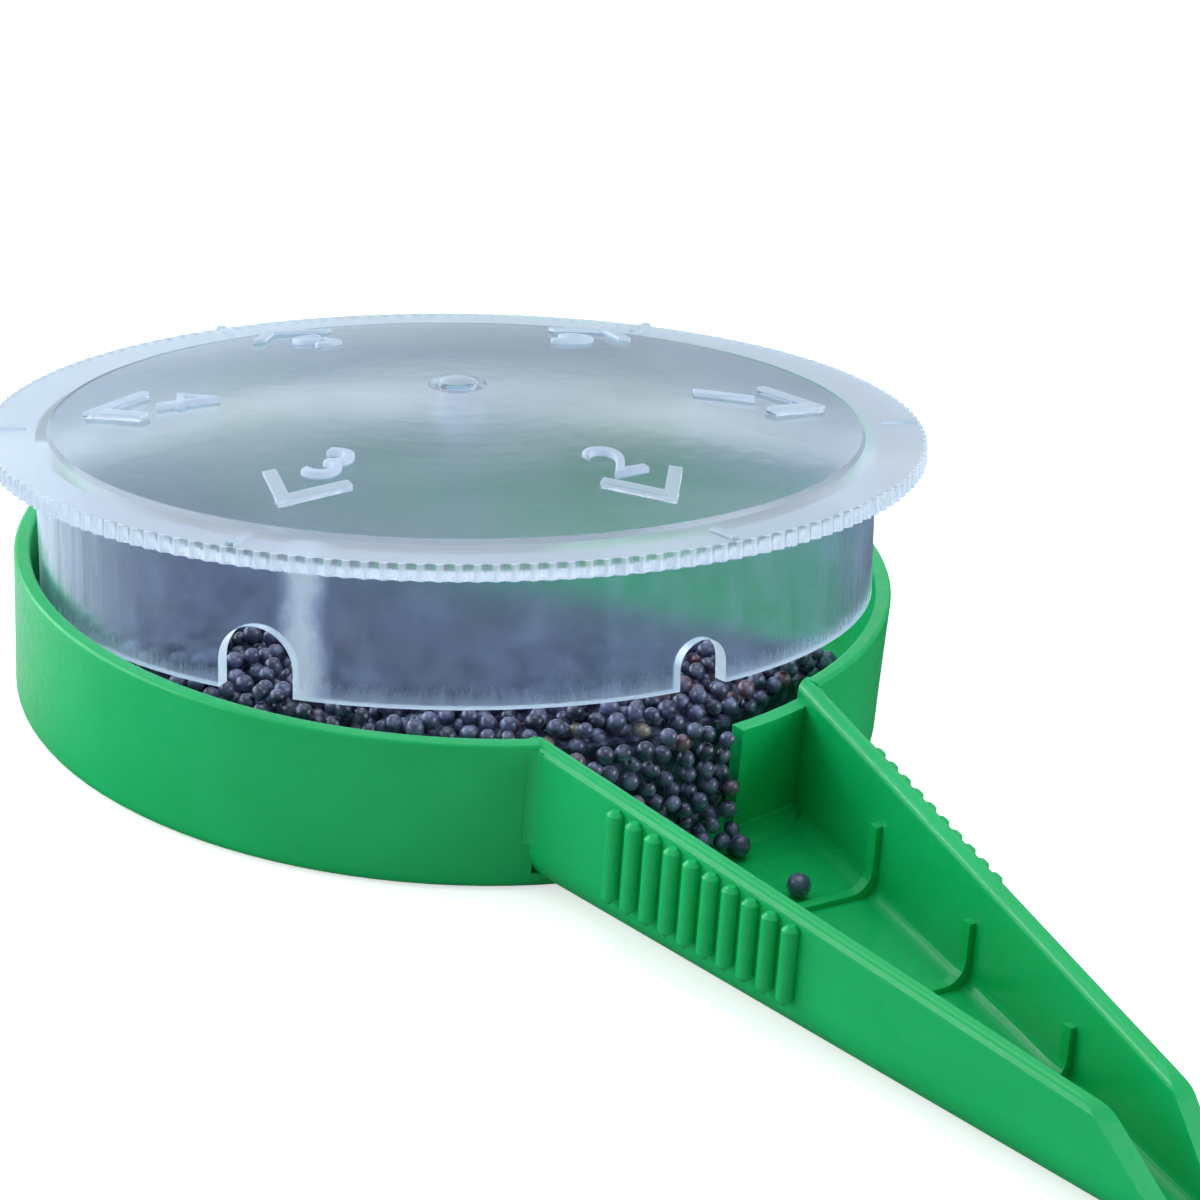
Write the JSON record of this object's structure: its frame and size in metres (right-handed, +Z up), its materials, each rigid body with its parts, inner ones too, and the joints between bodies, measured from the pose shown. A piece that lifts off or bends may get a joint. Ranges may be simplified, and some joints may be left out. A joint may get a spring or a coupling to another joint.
{
  "type": "dial seed sower",
  "caption": "Handheld dial seed sower: a round hopper tray with a tapering pouring chute and a numbered, domed lid that turns to set the seed gate.",
  "frame": {"origin": "centre of the round hopper, on the tray's flat underside", "axes": "+X runs along the chute from the hopper to the pouring tip, +Z is up, and +Y is the chute's left side seen from the hopper"},
  "size_m": [0.1237, 0.0691, 0.0259],
  "materials": {
    "tray_green": "smooth moulded green plastic",
    "lid_milky": "milky translucent moulded plastic",
    "pin_milky": "milky translucent moulded plastic"
  },
  "bodies": {
    "tray_body": {"tray": "tray_green"},
    "pin_body": {"centre_pin": "pin_milky"},
    "lid_body": {"dial_lid": "lid_milky"}
  },
  "joints": [
    {"name": "lid_seat", "type": "hinge", "parent": "tray_body", "child": "pin_body", "pos_m": [-0.06978, 0.00981, 0.00939], "axis": [-0.1392, -0.9903, 0], "range_deg": [-6.8, 20]},
    {"name": "dial_turn", "type": "hinge", "parent": "pin_body", "child": "lid_body", "pos_m": [0.00045, -0.00006, 0.0098], "axis": [-0.1173, 0.0165, 0.993], "continuous": true}
  ]
}
